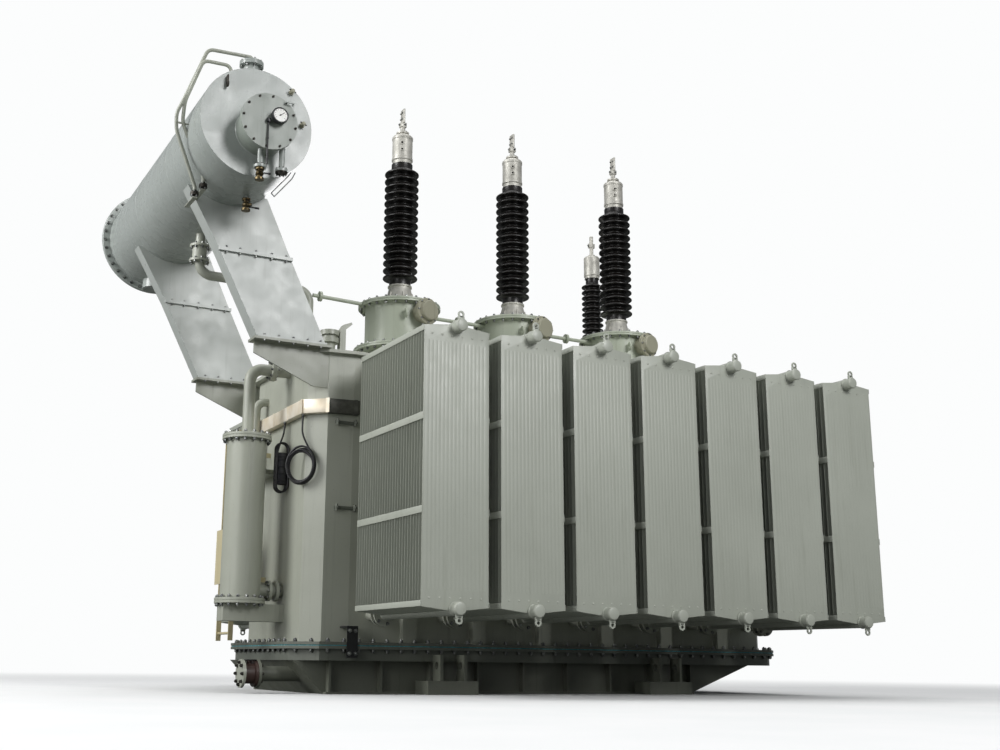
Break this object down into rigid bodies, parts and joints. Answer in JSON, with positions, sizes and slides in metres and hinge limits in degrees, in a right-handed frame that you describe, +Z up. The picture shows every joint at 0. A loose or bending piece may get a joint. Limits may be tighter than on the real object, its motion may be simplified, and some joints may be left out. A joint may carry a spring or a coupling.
{
  "type": "power transformer",
  "caption": "Oil-filled power transformer with bolted bell tank, finned radiators, bushings on turrets and a conservator carried on leaning arms.",
  "frame": {"origin": "on the ground under the middle of the tank base side pads; bottom of the object at Z 0", "axes": "+Z up, X along the tank with the conservator at -X, the first radiator side at -Y"},
  "size_m": [6.0156, 4.712, 5.296],
  "materials": {
    "black_paint": "satin",
    "brass": "satin",
    "brown_glaze": "glossy",
    "cable_sheath": "matte",
    "cast_aluminium": "satin",
    "dark_paint": "satin",
    "dial_case": "glossy",
    "gasket_rubber": "matte",
    "grey_paint": "satin",
    "olive_paint": "satin",
    "red_oxide_paint": "satin",
    "stainless_sheet": "bright",
    "tan_paint": "satin"
  },
  "bodies": {
    "root": {"arm_brackets": "grey_paint", "base_frame": "grey_paint", "breather_pipes": "grey_paint", "bushing_bases": "cast_aluminium", "bushing_caps": "cast_aluminium", "bushing_insulators": "brown_glaze", "cable_coil": "cable_sheath", "cable_drop": "cable_sheath", "cable_duct": "stainless_sheet", "cable_hank": "cable_sheath", "conservator_arm_far": "grey_paint", "conservator_arm_near": "grey_paint", "conservator_bosses": "grey_paint", "conservator_drain_cocks": "brass", "conservator_end_flange": "grey_paint", "conservator_end_pipes": "grey_paint", "conservator_manhole": "grey_paint", "conservator_shell": "grey_paint", "cover_fittings": "grey_paint", "ct_terminal_boxes": "olive_paint", "drain_blank_flange": "grey_paint", "drain_pipe": "grey_paint", "drain_valve": "red_oxide_paint", "gas_pipe": "grey_paint", "ground_bar": "black_paint", "hank_drop": "cable_sheath", "hauling_lugs": "grey_paint", "jacking_pads": "grey_paint", "joint_flange_lower": "grey_paint", "joint_flange_upper": "grey_paint", "joint_gasket": "gasket_rubber", "ladder": "tan_paint", "level_dial": "dial_case", "lower_pan": "grey_paint", "lv_bushing_insulators": "brown_glaze", "lv_bushing_metal": "cast_aluminium", "oil_filter": "grey_paint", "oil_filter_beam": "dark_paint", "oil_filter_pipes": "grey_paint", "oil_pipe": "grey_paint", "oil_pipe_valve": "grey_paint", "radiator_pair_1": "grey_paint", "radiator_pair_2": "grey_paint", "radiator_pair_3": "grey_paint", "radiator_pair_4": "grey_paint", "radiator_pair_5": "grey_paint", "radiator_pair_6": "grey_paint", "radiator_pair_7": "grey_paint", "radiator_valves": "grey_paint", "tank_body": "grey_paint", "tank_cover": "grey_paint", "turrets": "grey_paint", "wall_conduit": "grey_paint", "wall_stiffeners": "grey_paint"}
  },
  "joints": []
}
